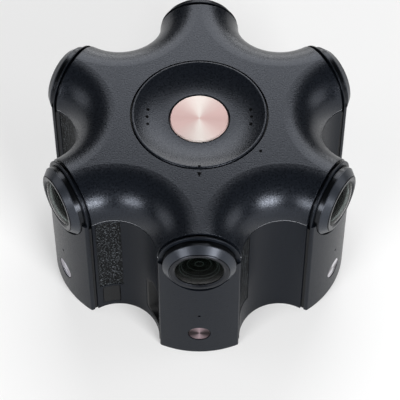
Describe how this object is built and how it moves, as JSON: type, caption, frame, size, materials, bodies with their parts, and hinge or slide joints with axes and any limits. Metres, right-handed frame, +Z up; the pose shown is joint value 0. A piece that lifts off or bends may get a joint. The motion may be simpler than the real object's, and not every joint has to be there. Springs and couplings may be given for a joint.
{
  "type": "panoramic camera",
  "caption": "Star-shaped 360 degree camera: a fisheye lens on each arm, a dished twist cover with a copper button on top, concave scallops between the arms and a tripod thread below.",
  "frame": {"origin": "centre of the bottom of the feet, on the surface that the camera stands on", "axes": "+Z up through the centre of the cover, -Y along the front arm, +X to the right seen from the front"},
  "size_m": [0.1848, 0.1984, 0.1147],
  "materials": {
    "shell": "fine sandy satin",
    "black_trim": "matt black",
    "barrel": "gloss black paint",
    "bezel": "satin grey paint",
    "ring": "satin black",
    "glass": "coated optical glass",
    "copper_disc": "spun, anodised pale copper",
    "mesh": "black acoustic mesh",
    "rubber": "matt",
    "casting": "cast",
    "board": "circuit board",
    "cell": "wrapped cell",
    "steel": "plain",
    "lamp": "clear"
  },
  "bodies": {
    "housing": {"top_shell": "shell", "lower_shell": "shell", "end_panel_front": "shell", "end_panel_front_right": "shell", "end_panel_back_right": "shell", "end_panel_back": "shell", "end_panel_back_left": "shell", "end_panel_front_left": "shell", "parting_strips": "black_trim", "cover_seat": "black_trim", "fan_frame": "black_trim", "port_bay": "black_trim", "card_sockets": "black_trim", "power_switch": "black_trim", "lens_barrel_front": "barrel", "lens_barrel_front_right": "barrel", "lens_barrel_back_right": "barrel", "lens_barrel_back": "barrel", "lens_barrel_back_left": "barrel", "lens_barrel_front_left": "barrel", "lens_bezel_front": "bezel", "lens_bezel_front_right": "bezel", "lens_bezel_back_right": "bezel", "lens_bezel_back": "bezel", "lens_bezel_back_left": "bezel", "lens_bezel_front_left": "bezel", "retaining_ring_front": "ring", "retaining_ring_front_right": "ring", "retaining_ring_back_right": "ring", "retaining_ring_back": "ring", "retaining_ring_back_left": "ring", "retaining_ring_front_left": "ring", "front_lens_front": "glass", "front_lens_front_right": "glass", "front_lens_back_right": "glass", "front_lens_back": "glass", "front_lens_back_left": "glass", "front_lens_front_left": "glass", "inner_lenses": "glass", "arm_badges": "copper_disc", "vent_meshes": "mesh", "base_feet": "rubber", "core_frame": "casting", "heat_sink": "casting", "base_plate": "casting", "main_board": "board", "sensor_boards": "board", "battery_pack": "cell", "base_screws": "steel", "tripod_bush": "steel", "port_flap_pin": "steel", "usb_socket": "steel", "network_socket": "steel", "power_inlet": "steel"},
    "fan": {"fan_rotor": "black_trim"},
    "cover": {"twist_cover": "shell", "indicator_lights": "lamp", "button_spring": "steel"},
    "button": {"power_button": "copper_disc"},
    "flap": {"port_flap": "rubber"}
  },
  "joints": [
    {"name": "cover_twist", "type": "hinge", "parent": "housing", "child": "cover", "pos_m": [0, 0, 0.114], "axis": [0, 0, 1], "range_deg": [0, 50]},
    {"name": "button_press", "type": "slide", "parent": "cover", "child": "button", "axis": [0, 0, -1], "range_m": [0, 0.001], "stiffness_N_per_m": 800, "springref_m": -0.0005, "deforming": ["button_spring"]},
    {"name": "fan_spin", "type": "hinge", "parent": "housing", "child": "fan", "pos_m": [0, 0, 0.02], "axis": [0, 0, 1], "continuous": true},
    {"name": "flap_open", "type": "hinge", "parent": "housing", "child": "flap", "pos_m": [-0.0494, -0.05976, 0.005], "axis": [0, 0, 1], "range_deg": [0, 85]}
  ]
}
